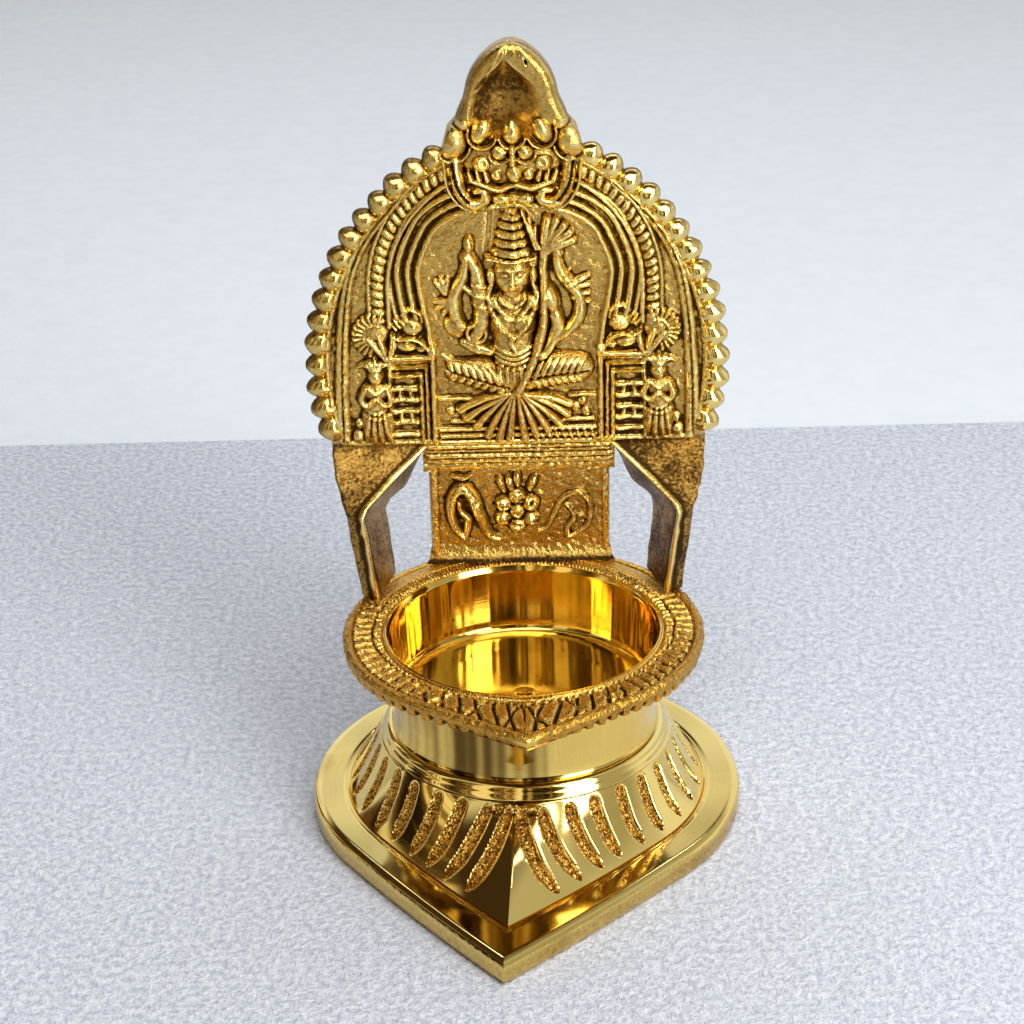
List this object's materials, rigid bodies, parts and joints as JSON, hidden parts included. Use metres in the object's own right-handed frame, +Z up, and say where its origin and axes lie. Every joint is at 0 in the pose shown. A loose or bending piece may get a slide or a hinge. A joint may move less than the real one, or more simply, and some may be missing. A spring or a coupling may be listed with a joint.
{
  "type": "standing oil lamp",
  "caption": "Small brass oil lamp: pointed bowl on a fluted, pointed foot, with a pierced relief arch on the back of its rim.",
  "frame": {"origin": "middle of the foot's footprint, on the surface that the lamp stands on", "axes": "+Z up, -Y towards the points of foot and bowl, +X to the right seen from the front"},
  "size_m": [0.062, 0.077, 0.1068],
  "materials": {
    "polished_brass": "polished",
    "turned_brass": "lathe turned",
    "cast_brass": "as cast, brushed, dark in the recesses",
    "plated_steel": "zinc plated"
  },
  "bodies": {
    "root": {"foot": "polished_brass", "bowl": "turned_brass", "back_plate": "cast_brass", "clamp_stud": "plated_steel", "clamp_washer": "plated_steel", "clamp_nut": "plated_steel"}
  },
  "joints": []
}
